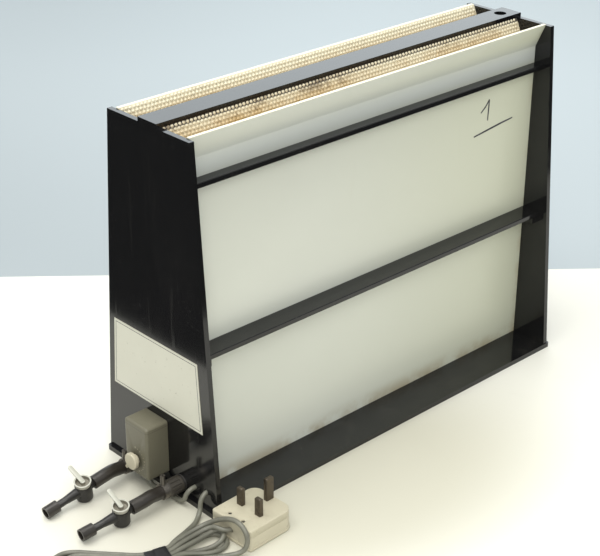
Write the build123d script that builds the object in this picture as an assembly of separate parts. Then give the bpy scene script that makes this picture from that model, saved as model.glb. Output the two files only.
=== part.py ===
from build123d import *
import os
from math import atan2, ceil, cos, hypot, pi, radians, sin, tan

# Two-slot upright print processor for a darkroom, in millimetres.
# X runs along its length, with the drains and the heater box at the -X end.
# -Y is the front, +Z is up, and the origin is the middle of the base's underside.

# End panels and base
body_length = 450.0
panel_thickness = 5.0
panel_height = 337.0
panel_top_width = 106.0
panel_foot_width = 154.0
base_thickness = 5.0
base_end_margin = 3.0
base_side_margin = 1.0
base_corner_radius = 2.0

# Walls of the two slots and of the water jacket between them
wall_thickness = 3.0
slot_gap = 12.5
jacket_gap = 36.0
funnel_height = 22.0
outer_funnel_spread = 10.5
inner_funnel_spread = 10.0
wall_bend_radius = 4.0
lip_rise = 1.0

# Rails glued along the outer walls
rail_thickness = 5.0
top_rail_below_bend = 17.5
top_rail_depth = 10.5
mid_rail_height = 150.0
mid_rail_depth = 20.0
rail_edge_radius = 0.8
cleat_size = 6.0
cleat_reach = 9.0

# Strip that closes the water jacket
cover_width = 24.0
cover_thickness = 4.0
filler_radius = 6.0
filler_inset = 17.0

# Heater box on the left end panel
case_depth = 24.0
case_width = 31.5
case_height = 53.2
case_foot = 16.8
case_offset = 4.75
case_wall = 2.0
case_edge_radius = 2.5
block_depth = 10.0
block_width = 22.0
block_height = 15.0
terminal_depth = 8.0
terminal_width = 20.0
terminal_height = 9.0
terminal_height_above_probe = 7.0

# Dial of the thermostat
dial_height = 33.8
knob_radius = 7.8
knob_thickness = 3.7
knob_hub_radius = 4.8
knob_hub_length = 3.0
knob_edge_radius = 0.9
knob_gap = 0.6
nib_reach = 12.2
nib_radius = 1.5
nib_angle = 231.0
shaft_radius = 3.0
shaft_clearance = 0.05
shaft_in_block = 6.0
shaft_in_knob = 4.0

# Heater and probe in the water jacket
heater_height = 26.6
heater_radius = 5.0
heater_length = 320.0
gland_radius = 6.5
gland_bore_clearance = 0.05
gland_flange_radius = 9.5
gland_flange_thickness = 3.0
gland_washer_thickness = 1.5
gland_stub = 7.0
gland_nut_flats = 13.2
gland_nut_thickness = 4.5
saddle_from_tip = 30.0
saddle_thickness = 5.0
saddle_width = 20.0
probe_height = 58.0
probe_radius = 2.5
probe_length = 60.0
probe_stub = 5.0

# Drains
drain_height = 14.0
spigot_bore = 2.4
spigot_shank_radius = 4.5
spigot_flange_radius = 8.0
spigot_flange_thickness = 2.0
spigot_tail_radius = 3.1
spigot_tail_length = 22.0
collar_radius = 7.9
collar_length = 16.0
collar_ribs = 12
collar_rib_radius = 0.9
collar_plain_end = 3.0
clip_band_width = 5.0
clip_band_thickness = 1.3
clip_screw_radius = 2.3
clip_screw_height = 9.0
clip_screw_slot = 0.8
clip_screw_slot_depth = 1.0
hose_radius = 6.1
hose_bore = 3.2
hose_level_run = 4.0
hose_rise = 1.0
fit_clearance = 0.05

# Taps, in a frame with the stem along +Z and the hose at +X
tap_roll = 8.0
rear_tap_reach = 68.2
rear_tap_y = 24.75
rear_tap_height = 12.5
rear_tap_yaw = 0.0
rear_tap_pitch = 9.2
front_tap_reach = 66.0
front_tap_y = -26.9
front_tap_height = 12.3
front_tap_yaw = -3.5
front_tap_pitch = 5.7
tap_body_radius = 7.6
tap_body_top = 5.2
tap_body_foot = -11.0
tap_foot_fillet = 2.0
tap_neck_radius = 4.0
tap_neck_end = 10.4
tap_tail_end = 18.0
hose_straight_end = 24.0
tap_waterway = 2.4
tap_boss_radius = 5.2
tap_boss_end = 20.0
tap_nozzle_radius = 3.4
tap_nozzle_end = 32.5
sleeve_start = 28.5
sleeve_end = 41.0
sleeve_radius = 5.6
sleeve_mouth_radius = 4.2
stem_radius = 4.0
stem_end = -10.2
dish_gap = 0.3
dish_height = 4.2
dish_foot_radius = 6.9
dish_rim_radius = 7.8
dish_wall = 1.0
hub_radius = 2.2
lever_rise = 15.0
lever_reach = 19.5
lever_width = 4.0
lever_thickness = 1.5
lever_root = 1.0
seal_section = 0.8
seal_width = 1.4
upper_seal_height = 3.0
lower_seal_height = -5.4
clip_recess_radius = 5.3
clip_recess_depth = 2.8
clip_ring_radius = 5.0
clip_ring_thickness = 0.6
clip_ring_gap = 0.15

# Label on the left end panel
label_thickness = 0.4
label_foot = 78.0
label_height = 67.0
label_side_margin = 10.0
label_shift = 2.4

# Mains flex and the two holes that it is threaded through
flex_radius = 2.2
flex_hole_clearance = 0.3
inner_flex_hole = (-46.3, 18.5)
outer_flex_hole = (-61.5, 21.0)
grommet_radius = 4.5
grommet_lip = 1.5
grommet_from_panel = 12.0

# Routes of the flex: how far each point is from the left end panel's face, then Y and Z.
# From the heater box to the end panel, out, back in and out again
lead_route = [
    (grommet_from_panel, case_offset, case_foot + case_wall),
    (grommet_from_panel, case_offset, 2.7),
    (9.5, -20.0, 2.7),
    (9.0, -41.0, 3.6),
    (8.8, -46.3, 18.5),
    (-15.5, -46.3, 18.5),
    (-15.5, -61.5, 21.0),
    (-5.0, -61.5, 21.0),
]

# From the end panel down to the table and into the hank
run_route = [
    (-5.0, -61.5, 21.0),
    (6.6, -61.5, 21.0),
    (7.2, -63.4, 2.7),
    (19.0, -70.2, 2.5),
    (34.0, -74.8, 2.6),
    (46.0, -77.8, 3.2),
    (56.0, -81.0, 4.0),
    (64.0, -84.2, 5.0),
]

# Outermost turn of the hank, which stands up against the plug
loop_route = [
    (53.0, -84.6, 6.4),
    (42.0, -82.9, 6.8),
    (29.5, -83.4, 8.4),
    (17.0, -90.0, 14.0),
    (14.4, -103.0, 22.0),
    (14.4, -118.0, 26.4),
    (14.6, -131.4, 21.0),
    (17.0, -131.0, 7.0),
    (25.5, -125.6, 2.8),
    (38.0, -117.6, 2.6),
    (49.0, -109.0, 2.8),
    (57.0, -101.0, 3.6),
]

# From the hank to the plug
tail_route = [
    (41.0, -88.4, 6.6),
    (27.0, -88.6, 8.0),
    (18.8, -96.0, 11.6),
    (16.0, -106.7, 10.7),
    (4.0, -106.4, 10.6),
]

# Hank of flex, tied round its waist, placed as the routes are
hank_foot = 0.9
hank_top = 9.8
hank_waist = (76.0, -90.7)
hank_waist_angle = -18.0
hank_waist_length = 24.0
hank_waist_width = 17.6
hank_right_centre = (29.5, -101.5)
hank_right_radius = 14.5
hank_left_centre = (135.0, -50.0)
hank_left_radius = 19.5
tie_length = 20.0
tie_thickness = 0.8

# Fused mains plug that lies with its pins up, placed as the routes are
plug_place = (-11.4, -105.9)
plug_angle = 2.0
plug_flex_side = 22.2
plug_earth_side = 28.6
plug_half_width = 23.9
plug_face = 20.4
plug_cover_height = 13.0
plug_foot_gap = 0.2
plug_near_radius = 2.0
plug_far_radius = 10.0
plug_flange_reach = 0.8
plug_flange_height = 2.4
plug_face_edge = 0.8
plug_entry_height = 10.6
plug_entry_depth = 8.0
pin_spacing = 22.2
pin_setback = 22.2
line_pin_width = 6.35
line_pin_length = 17.7
earth_pin_width = 8.0
earth_pin_length = 22.7
pin_thickness = 4.0
pin_root = 6.0
pin_tip_chamfer = 1.0
plug_screw_x = -15.5
plug_screw_spacing = 16.4
plug_screw_radius = 1.9
plug_screw_sink = 1.2
plug_screw_length = 9.0
plug_screw_slot = 0.8
fuse_radius = 3.2
fuse_length = 25.4
fuse_from_screws = 8.0

# Derived places
half_length = body_length / 2
inside = half_length - panel_thickness
outside = -half_length
panel_top = base_thickness + panel_height
bend_height = panel_top - funnel_height
top_rail_height = bend_height - top_rail_below_bend
inner_face = jacket_gap / 2 + wall_thickness
outer_face = inner_face + slot_gap
outer_skin = outer_face + wall_thickness
drain_y = (inner_face + outer_face) / 2
case_front = outside - case_depth
LOW = (Align.CENTER, Align.CENTER, Align.MIN)


def block(x0, x1, y0, y1, z0, z1):
    """A box between two corners."""
    middle = ((x0 + x1) / 2, (y0 + y1) / 2, (z0 + z1) / 2)
    return Pos(*middle) * Box(x1 - x0, y1 - y0, z1 - z0)


def rod_x(x0, x1, y, z, radius):
    """A round rod along X."""
    plane = Plane(origin=(x0, y, z), z_dir=(1, 0, 0))
    return plane * Cylinder(radius, x1 - x0, align=LOW)


def rod_z(x, y, z0, z1, radius):
    """An upright round rod."""
    return Pos(x, y, z0) * Cylinder(radius, z1 - z0, align=LOW)


def panel_half_width(z):
    """Half the width of an end panel at a height."""
    share = (z - base_thickness) / panel_height
    return (panel_foot_width + (panel_top_width - panel_foot_width) * share) / 2


def prism_x(points, x0, x1):
    """An outline in Y and Z, carried from x0 to x1."""
    face = make_face(Plane.YZ * Polyline(*points, close=True))
    return Pos(x0, 0, 0) * extrude(face, x1 - x0, dir=(1, 0, 0))


def left_of_panel(place):
    """A place given by its distance off the left end panel, as a place in the frame."""
    return (outside - place[0], *place[1:])


def base_plate():
    half_x = half_length + base_end_margin
    half_y = panel_foot_width / 2 + base_side_margin
    plate = block(-half_x, half_x, -half_y, half_y, 0, base_thickness)
    return fillet(plate.edges().filter_by(Axis.Z), base_corner_radius)


def end_panel(x0):
    foot, top = panel_foot_width / 2, panel_top_width / 2
    outline = [(-foot, base_thickness), (foot, base_thickness), (top, panel_top), (-top, panel_top)]
    return prism_x(outline, x0, x0 + panel_thickness)


def left_end_panel():
    panel = end_panel(outside)
    through = (outside - 1, outside + panel_thickness + 1)
    for side in (-1, 1):
        panel -= rod_x(*through, side * drain_y, drain_height, spigot_shank_radius)
    panel -= rod_x(*through, 0, heater_height, gland_radius)
    panel -= rod_x(*through, 0, probe_height, probe_radius)
    for y, z in (inner_flex_hole, outer_flex_hole):
        panel -= rod_x(*through, y, z, flex_radius + flex_hole_clearance)
    return panel


def bent_wall(slot_face, away, top, spread):
    """A sheet with one face on the slot, bent away from it into the funnel."""
    rise = top - bend_height
    slope = atan2(spread, rise)
    setback = wall_thickness * tan(slope / 2)
    crest = wall_thickness / cos(slope)
    outline = [
        (slot_face, base_thickness),
        (slot_face, bend_height),
        (slot_face + away * spread, top),
        (slot_face + away * (spread + crest), top),
        (slot_face + away * wall_thickness, bend_height - setback),
        (slot_face + away * wall_thickness, base_thickness),
    ]
    wall = prism_x(outline, -inside, inside)
    for corner, radius in ((1, wall_bend_radius + wall_thickness), (4, wall_bend_radius)):
        edge = wall.edges().filter_by(Axis.X).sort_by_distance((0, *outline[corner]))[0]
        wall = fillet(edge, radius)
    return wall


def outer_wall(side):
    return bent_wall(side * outer_face, side, panel_top + lip_rise, outer_funnel_spread)


def inner_wall(side):
    return bent_wall(side * inner_face, -side, panel_top, inner_funnel_spread)


def rail(side, top, depth):
    """A flat strip on edge-on to an outer wall, between the end panels."""
    near, far = sorted((side * outer_skin, side * (outer_skin + depth)))
    strip = block(-inside, inside, near, far, top - rail_thickness, top)
    lip = strip.edges().filter_by(Axis.X).sort_by(Axis.Y)
    edges = lip[:2] if side < 0 else lip[-2:]
    return fillet(edges, rail_edge_radius)


def rail_cleats():
    """A small block under each end of the mid rails, against the end panel."""
    blocks = []
    foot = mid_rail_height - rail_thickness - cleat_size
    for side in (-1, 1):
        near, far = sorted((side * outer_skin, side * (outer_skin + mid_rail_depth)))
        for x0 in (-inside, inside - cleat_reach):
            blocks.append(block(x0, x0 + cleat_reach, near, far, foot, foot + cleat_size))
    return Compound(blocks)


def jacket_cover_strip():
    half = cover_width / 2
    strip = block(-half_length, half_length, -half, half, panel_top, panel_top + cover_thickness)
    hole = rod_z(half_length - filler_inset, 0, panel_top - 1, panel_top + cover_thickness + 1, filler_radius)
    return strip - hole


def thermostat_case():
    y0 = case_offset - case_width / 2
    z1 = case_foot + case_height
    shell = block(case_front, outside, y0, y0 + case_width, case_foot, z1)
    rim = shell.edges().group_by(Axis.X)[-1]
    shell = fillet([edge for edge in shell.edges() if edge not in rim], case_edge_radius)
    shell -= block(case_front + case_wall, outside + 1, y0 + case_wall, y0 + case_width - case_wall,
                   case_foot + case_wall, z1 - case_wall)
    shell -= rod_x(case_front - 1, case_front + case_wall + 1, case_offset, dial_height,
                   shaft_radius + shaft_clearance)
    shell -= rod_z(*grommet_place(), case_foot - 1, case_foot + case_wall + 1, grommet_radius - grommet_lip)
    return shell


def thermostat_block():
    """The switch that the dial turns, fixed to the inside of the case's front."""
    x0 = case_front + case_wall
    y0 = case_offset - block_width / 2
    z0 = dial_height - block_height / 2
    body = block(x0, x0 + block_depth, y0, y0 + block_width, z0, z0 + block_height)
    return body - rod_x(x0 - 1, x0 + shaft_in_block + shaft_clearance, case_offset, dial_height,
                        shaft_radius + shaft_clearance)


def terminal_block():
    """Two-pole connector fixed inside the case's front, above the switch."""
    x0 = case_front + case_wall
    z0 = probe_height - terminal_height_above_probe
    y0 = case_offset - terminal_width / 2
    body = block(x0, x0 + terminal_depth, y0, y0 + terminal_width, z0, z0 + terminal_height)
    for step in (-1, 1):
        body -= rod_x(x0 + terminal_depth / 2, x0 + terminal_depth + 1,
                      case_offset + step * terminal_width / 4, z0 + terminal_height / 2, terminal_height / 5)
    return body


def dial_shaft():
    x0 = case_front - knob_gap - shaft_in_knob
    return rod_x(x0, case_front + case_wall + shaft_in_block, case_offset, dial_height, shaft_radius)


def dial_knob():
    """A flat round knob on a narrower hub, with one pointing nib on its rim."""
    foot = case_front - knob_gap
    back = foot - knob_hub_length
    front = back - knob_thickness
    knob = rod_x(front, back, case_offset, dial_height, knob_radius)
    angle = radians(nib_angle)
    tip_y = case_offset - (nib_reach - nib_radius) * cos(angle)
    tip_z = dial_height + (nib_reach - nib_radius) * sin(angle)
    nib = rod_x(front + knob_edge_radius, back, tip_y, tip_z, nib_radius)
    reach = (nib_reach - nib_radius) / 2
    nib_depth = knob_thickness - knob_edge_radius
    bridge = Box(nib_depth, nib_reach - nib_radius, nib_radius * 2)
    bridge = Rot(180 - nib_angle, 0, 0) * bridge
    centre = (back - nib_depth / 2, case_offset - reach * cos(angle), dial_height + reach * sin(angle))
    bridge = Pos(*centre) * bridge
    rim = knob.edges().sort_by(Axis.X)[0]
    knob = fillet(rim, knob_edge_radius)
    knob = knob + bridge + nib + rod_x(back, foot, case_offset, dial_height, knob_hub_radius)
    return knob - rod_x(foot - shaft_in_knob, foot + 1, case_offset, dial_height, shaft_radius)


def heater_gland():
    """A flanged bush through the end panel, with its flange in the jacket."""
    washer_face = -inside + gland_washer_thickness
    bush = rod_x(outside - gland_stub, washer_face, 0, heater_height, gland_radius)
    bush += rod_x(washer_face, washer_face + gland_flange_thickness, 0, heater_height, gland_flange_radius)
    return bush - rod_x(outside - gland_stub - 1, inside, 0, heater_height, heater_radius + gland_bore_clearance)


def gland_washer():
    ring = rod_x(-inside, -inside + gland_washer_thickness, 0, heater_height, gland_flange_radius)
    return ring - rod_x(-inside - 1, inside, 0, heater_height, gland_radius)


def gland_nut():
    plane = Plane(origin=(outside - gland_nut_thickness, 0, heater_height), z_dir=(1, 0, 0))
    hexagon = RegularPolygon(gland_nut_flats / 2, 6, major_radius=False)
    nut = extrude(plane * hexagon, gland_nut_thickness)
    return nut - rod_x(outside - gland_nut_thickness - 1, outside + 1, 0, heater_height, gland_radius)


def heater_tube():
    """A sheathed heating rod that runs along the jacket from the gland."""
    x0 = outside - gland_stub
    tip = x0 + heater_length
    return rod_x(x0, tip, 0, heater_height, heater_radius) + Pos(tip, 0, heater_height) * Sphere(heater_radius)


def heater_saddle():
    """A notched block on the base that carries the far end of the heater."""
    x0 = outside - gland_stub + heater_length - saddle_from_tip
    half = saddle_width / 2
    body = block(x0, x0 + saddle_thickness, -half, half, base_thickness, heater_height)
    return body - rod_x(x0 - 1, x0 + saddle_thickness + 1, 0, heater_height, heater_radius)


def probe_tube():
    x0 = outside - probe_stub
    return rod_x(x0, x0 + probe_length, 0, probe_height, probe_radius)


def grommet_place():
    return left_of_panel((grommet_from_panel, case_offset))


def lead_grommet():
    """A rubber bush in the underside of the case, with the flex through it."""
    ring = rod_z(*grommet_place(), case_foot - grommet_lip, case_foot, grommet_radius)
    ring += rod_z(*grommet_place(), case_foot, case_foot + case_wall, grommet_radius - grommet_lip)
    return ring - rod_z(*grommet_place(), case_foot - grommet_lip - 1, case_foot + case_wall + 1, flex_radius)


def drain_spigot(side):
    """A flanged tube glued through the end panel, with a ribbed tail for the hose."""
    y = side * drain_y
    flange = outside - spigot_flange_thickness
    tail = flange - spigot_tail_length
    body = rod_x(flange, -inside, y, drain_height, spigot_shank_radius)
    body += rod_x(flange, outside, y, drain_height, spigot_flange_radius)
    body += rod_x(tail, flange, y, drain_height, spigot_tail_radius)
    return body - rod_x(tail - 1, -inside + 1, y, drain_height, spigot_bore)


def hose_collar(side):
    """A ribbed nut that grips the end of the hose against the flange."""
    y = side * drain_y
    x1 = outside - spigot_flange_thickness
    collar = rod_x(x1 - collar_length, x1, y, drain_height, collar_radius)
    edges = collar.edges().filter_by(GeomType.CIRCLE)
    collar = fillet(edges, rail_edge_radius)
    for step in range(collar_ribs):
        angle = 2 * pi * step / collar_ribs
        groove_y = y + collar_radius * cos(angle)
        groove_z = drain_height + collar_radius * sin(angle)
        collar -= rod_x(x1 - collar_length + collar_plain_end, x1 - collar_plain_end, groove_y, groove_z, collar_rib_radius)
    return collar - rod_x(x1 - collar_length - 1, x1 + 1, y, drain_height, hose_radius + fit_clearance)


def hose_clip(side):
    """A band round the hose with an upright clamping screw."""
    y = side * drain_y
    x1 = outside - spigot_flange_thickness - collar_length
    x0 = x1 - clip_band_width
    outer = hose_radius + clip_band_thickness
    band = rod_x(x0, x1, y, drain_height, outer)
    screw_x = (x0 + x1) / 2
    screw = rod_z(screw_x, y, drain_height, drain_height + outer + clip_screw_height, clip_screw_radius)
    head = drain_height + outer + clip_screw_height
    half_slot = clip_screw_slot / 2
    screw -= block(screw_x - half_slot, screw_x + half_slot, y - clip_screw_radius, y + clip_screw_radius,
                   head - clip_screw_slot_depth, head + 1)
    return band + screw - rod_x(x0 - 1, x1 + 1, y, drain_height, hose_radius + fit_clearance)


def tap_plane(x, y, height, yaw, pitch):
    """The tap's own frame: its nozzle droops to the table and its stem leans forwards."""
    turn, pitch, roll = radians(yaw), radians(pitch), radians(tap_roll)
    along = Vector(cos(turn) * cos(pitch), sin(turn) * cos(pitch), sin(pitch))
    level = Vector(-sin(turn), cos(turn), 0)
    upright = along.cross(level)
    stem = upright * cos(roll) - level * sin(roll)
    return Plane(origin=(x, y, height), x_dir=along, z_dir=stem)


def tap_rod(x0, x1, radius):
    """A rod along the tap's waterway, in the tap's frame."""
    return rod_x(x0, x1, 0, 0, radius)


def tap_body():
    body = rod_z(0, 0, tap_body_foot, tap_body_top, tap_body_radius)
    body = fillet(body.edges().filter_by(GeomType.CIRCLE).sort_by(Axis.Z)[0], tap_foot_fillet)
    body += tap_rod(0, tap_neck_end, tap_neck_radius)
    body += tap_rod(0, tap_tail_end, hose_bore - fit_clearance)
    body += Plane(origin=(0, 0, 0), z_dir=(-1, 0, 0)) * Cone(
        tap_boss_radius, tap_nozzle_radius + fit_clearance, tap_boss_end, align=LOW)
    body += tap_rod(-tap_nozzle_end, 0, tap_nozzle_radius)
    body -= tap_rod(-tap_nozzle_end - 1, tap_tail_end + 1, tap_waterway)
    body -= rod_z(0, 0, tap_body_foot - 1, tap_body_top + 1, stem_radius + fit_clearance)
    return body - rod_z(0, 0, tap_body_foot - 1, tap_body_foot + clip_recess_depth, clip_recess_radius)


def ring_z(z0, height, inner, outer):
    return rod_z(0, 0, z0, z0 + height, outer) - rod_z(0, 0, z0 - 1, z0 + height + 1, inner)


def clip_ring_foot():
    return tap_body_foot + clip_recess_depth - clip_ring_gap - clip_ring_thickness


def tap_plug():
    """The turning plug: a bored stem, a shallow dish on top and a blade to turn it by."""
    z0 = tap_body_top + dish_gap
    rim = z0 + dish_height
    bowl = Pos(0, 0, z0) * Cone(dish_foot_radius, dish_rim_radius, dish_height, align=LOW)
    hollow = Cone(dish_foot_radius - dish_wall, dish_rim_radius - dish_wall, dish_height, align=LOW)
    bowl -= Pos(0, 0, z0 + dish_wall) * hollow
    bowl += rod_z(0, 0, z0, rim, hub_radius)
    stem = rod_z(0, 0, stem_end, z0, stem_radius)
    for z in (upper_seal_height, lower_seal_height):
        stem -= ring_z(z, seal_width, stem_radius - seal_section, stem_radius + 1)
    stem -= ring_z(clip_ring_foot(), clip_ring_thickness, stem_radius - seal_section, stem_radius + 1)
    stem -= Rot(-90, 0, 0) * Cylinder(tap_waterway, stem_radius * 2 + 2)
    blade = Box(lever_width, lever_reach, lever_thickness, align=(Align.CENTER, Align.MIN, Align.MIN))
    blade = fillet(blade.edges().filter_by(Axis.Z).sort_by(Axis.Y)[-2:], lever_width / 2 - 0.1)
    blade = Pos(0, 0, rim - lever_root) * Rot(lever_rise, 0, 0) * blade
    return bowl + stem + blade


def tap_seals():
    rings = []
    for z in (upper_seal_height, lower_seal_height):
        rings.append(ring_z(z, seal_width, stem_radius - seal_section, stem_radius))
    return Compound(rings)


def tap_clip():
    """The ring under the body that keeps the plug in."""
    return ring_z(clip_ring_foot(), clip_ring_thickness, stem_radius - seal_section, clip_ring_radius)


def outlet_sleeve():
    """A short push-on hose end: a snug bore on the nozzle and a wider open mouth."""
    sleeve = tap_rod(-sleeve_end, -sleeve_start, sleeve_radius)
    sleeve -= tap_rod(-tap_nozzle_end, -sleeve_start + 1, tap_nozzle_radius + fit_clearance)
    return sleeve - tap_rod(-sleeve_end - 1, -tap_nozzle_end, sleeve_mouth_radius)


def flex_path(route):
    """Straight runs joined by tangent arcs, each as large as its two runs allow."""
    points = [Vector(*point) for point in route]
    radii = []
    for before, corner, after in zip(points, points[1:], points[2:]):
        first, second = corner - before, after - corner
        half_turn = radians(first.get_angle(second)) / 2
        radii.append(0.45 * min(first.length, second.length) / tan(half_turn))
    return FilletPolyline(*points, radius=radii), radii


def flex(name, route):
    """A length of the mains flex along one of its routes."""
    return tube(name, [left_of_panel(place) for place in route], flex_radius)


def tube(name, route, radius, bore=0.0):
    """A round tube along a route, with its length and bends printed."""
    path, radii = flex_path(route)
    start = Plane(origin=path @ 0, z_dir=path % 0)
    solid = sweep(start * Circle(radius), path=path)
    expected = pi * radius**2 * path.length
    if bore:
        solid -= sweep(start * Circle(bore), path=path)
        expected -= pi * bore**2 * path.length
    bends = ", ".join(f"{value:.1f}" for value in radii)
    print(f"{name}: {path.length:.1f} long, bends {bends}, volume {solid.volume / expected:.4f} of expected")
    return solid


def hose_route(side, plane):
    """From the flange, level through the collar, and over to the tap's tail."""
    start_x = outside - spigot_flange_thickness
    level_x = start_x - collar_length - clip_band_width - hose_level_run
    end = plane.from_local_coords(Vector(tap_neck_end, 0, 0))
    lead = plane.from_local_coords(Vector(hose_straight_end, 0, 0))
    middle = ((level_x + lead.X) / 2, (side * drain_y + lead.Y) / 2, (drain_height + lead.Z) / 2 + hose_rise)
    first = (start_x, side * drain_y, drain_height)
    level = (level_x, side * drain_y, drain_height)
    return [first, level, middle, tuple(lead), tuple(end)]


def drain_hose(name, side, plane):
    return tube(name, hose_route(side, plane), hose_radius, hose_bore)


def hank_outline():
    """Two round lobes drawn in to a narrow waist, as one face."""
    waist = Pos(*left_of_panel(hank_waist)) * Rot(0, 0, hank_waist_angle) * Rectangle(hank_waist_length, hank_waist_width)
    lobes = []
    for centre, radius in ((hank_right_centre, hank_right_radius), (hank_left_centre, hank_left_radius)):
        lobe = Pos(*left_of_panel(centre)) * Circle(radius)
        lobes.append(make_hull(lobe.edges() + waist.edges()))
    return lobes[0] + lobes[1] + waist


def flex_hank():
    face = Pos(0, 0, hank_foot) * hank_outline()
    return extrude(face, hank_top - hank_foot, dir=(0, 0, 1))


def hank_tie(hank):
    """A flat band round the waist of the hank."""
    height = hank_top - hank_foot + 2 * tie_thickness
    wider = Pos(0, 0, hank_foot - tie_thickness) * offset(hank_outline(), tie_thickness)
    band = extrude(wider, height, dir=(0, 0, 1))
    slab = Box(tie_length, 2 * hank_right_radius, 2 * height)
    band &= Pos(*left_of_panel(hank_waist), hank_foot) * Rot(0, 0, hank_waist_angle) * slab
    return band - hank


def plug_frame(item):
    return Pos(*left_of_panel(plug_place)) * Rot(0, 0, plug_angle) * item


def plug_outline():
    width = 2 * plug_half_width
    length = plug_flex_side + plug_earth_side
    face = Pos((plug_earth_side - plug_flex_side) / 2, 0, 0) * Rectangle(length, width)
    corners = face.vertices().sort_by(Axis.X)
    face = fillet(corners[-2:], plug_far_radius)
    return fillet(face.vertices().sort_by(Axis.X)[:2], plug_near_radius)


def plug_entry():
    start = -plug_flex_side - 1
    return rod_x(start, start + plug_entry_depth + 1, 0, plug_entry_height, flex_radius + flex_hole_clearance)


def fuse_pocket():
    radius = fuse_radius + flex_hole_clearance
    length = fuse_length + 2 * flex_hole_clearance
    pocket = Plane(origin=(plug_screw_x + fuse_from_screws, 0, plug_cover_height), z_dir=(0, 1, 0))
    return pocket * Cylinder(radius, length)


def plug_pin_places():
    half = pin_spacing / 2
    return [(0, -half), (0, half)]


def pin_block(x, y, size_x, size_y, length):
    """A pin that stands out of the plug's face, with its root inside."""
    height = length + pin_root
    pin = Pos(x, y, plug_face - pin_root) * Box(size_x, size_y, height, align=LOW)
    return chamfer(pin.edges().group_by(Axis.Z)[-1], pin_tip_chamfer)


def line_pins():
    pins = []
    for x, y in plug_pin_places():
        pins.append(pin_block(x, y, pin_thickness, line_pin_width, line_pin_length))
    return Compound(pins)


def earth_pin():
    return pin_block(pin_setback, 0, earth_pin_width, pin_thickness, earth_pin_length)


def plug_screws():
    screws = []
    for step in (-1, 1):
        y = step * plug_screw_spacing / 2
        top = plug_face - plug_screw_sink
        screw = rod_z(plug_screw_x, y, top - plug_screw_length, top, plug_screw_radius)
        slot = block(plug_screw_x - plug_screw_slot / 2, plug_screw_x + plug_screw_slot / 2,
                     y - plug_screw_radius, y + plug_screw_radius, top - plug_screw_slot, top + 1)
        screws.append(screw - slot)
    return Compound(screws)


def plug_base():
    """The half of the plug that carries the pins."""
    body = extrude(Pos(0, 0, plug_cover_height) * plug_outline(), plug_face - plug_cover_height)
    body = chamfer(body.edges().group_by(Axis.Z)[-1], plug_face_edge)
    body -= plug_entry()
    body -= fuse_pocket()
    for x, y in plug_pin_places():
        body -= Pos(x, y, plug_face - pin_root) * Box(pin_thickness, line_pin_width, pin_root + 1, align=LOW)
    body -= Pos(pin_setback, 0, plug_face - pin_root) * Box(earth_pin_width, pin_thickness, pin_root + 1, align=LOW)
    for step in (-1, 1):
        y = step * plug_screw_spacing / 2
        body -= rod_z(plug_screw_x, y, plug_cover_height - 1, plug_face + 1, plug_screw_radius)
    return body


def plug_cover():
    """The half of the plug that lies on the table, with a thin flange round its foot."""
    foot = Pos(0, 0, plug_foot_gap)
    body = extrude(foot * plug_outline(), plug_cover_height - plug_foot_gap)
    flange = extrude(foot * offset(plug_outline(), plug_flange_reach), plug_flange_height)
    body += fillet(flange.edges().group_by(Axis.Z)[0], plug_flange_reach)
    body -= plug_entry()
    body -= fuse_pocket()
    for step in (-1, 1):
        y = step * plug_screw_spacing / 2
        top = plug_face - plug_screw_sink
        body -= rod_z(plug_screw_x, y, top - plug_screw_length, plug_cover_height + 1, plug_screw_radius)
    return body


def plug_fuse():
    place = Plane(origin=(plug_screw_x + fuse_from_screws, 0, plug_cover_height), z_dir=(0, 1, 0))
    return place * Cylinder(fuse_radius, fuse_length)


def label_plate():
    """A thin plate whose sides run with the sides of the end panel."""
    z0, z1 = label_foot, label_foot + label_height
    low, high = panel_half_width(z0) - label_side_margin, panel_half_width(z1) - label_side_margin
    shift = label_shift
    outline = [(shift - low, z0), (shift + low, z0), (shift + high, z1), (shift - high, z1)]
    return prism_x(outline, outside - label_thickness, outside)


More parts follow.
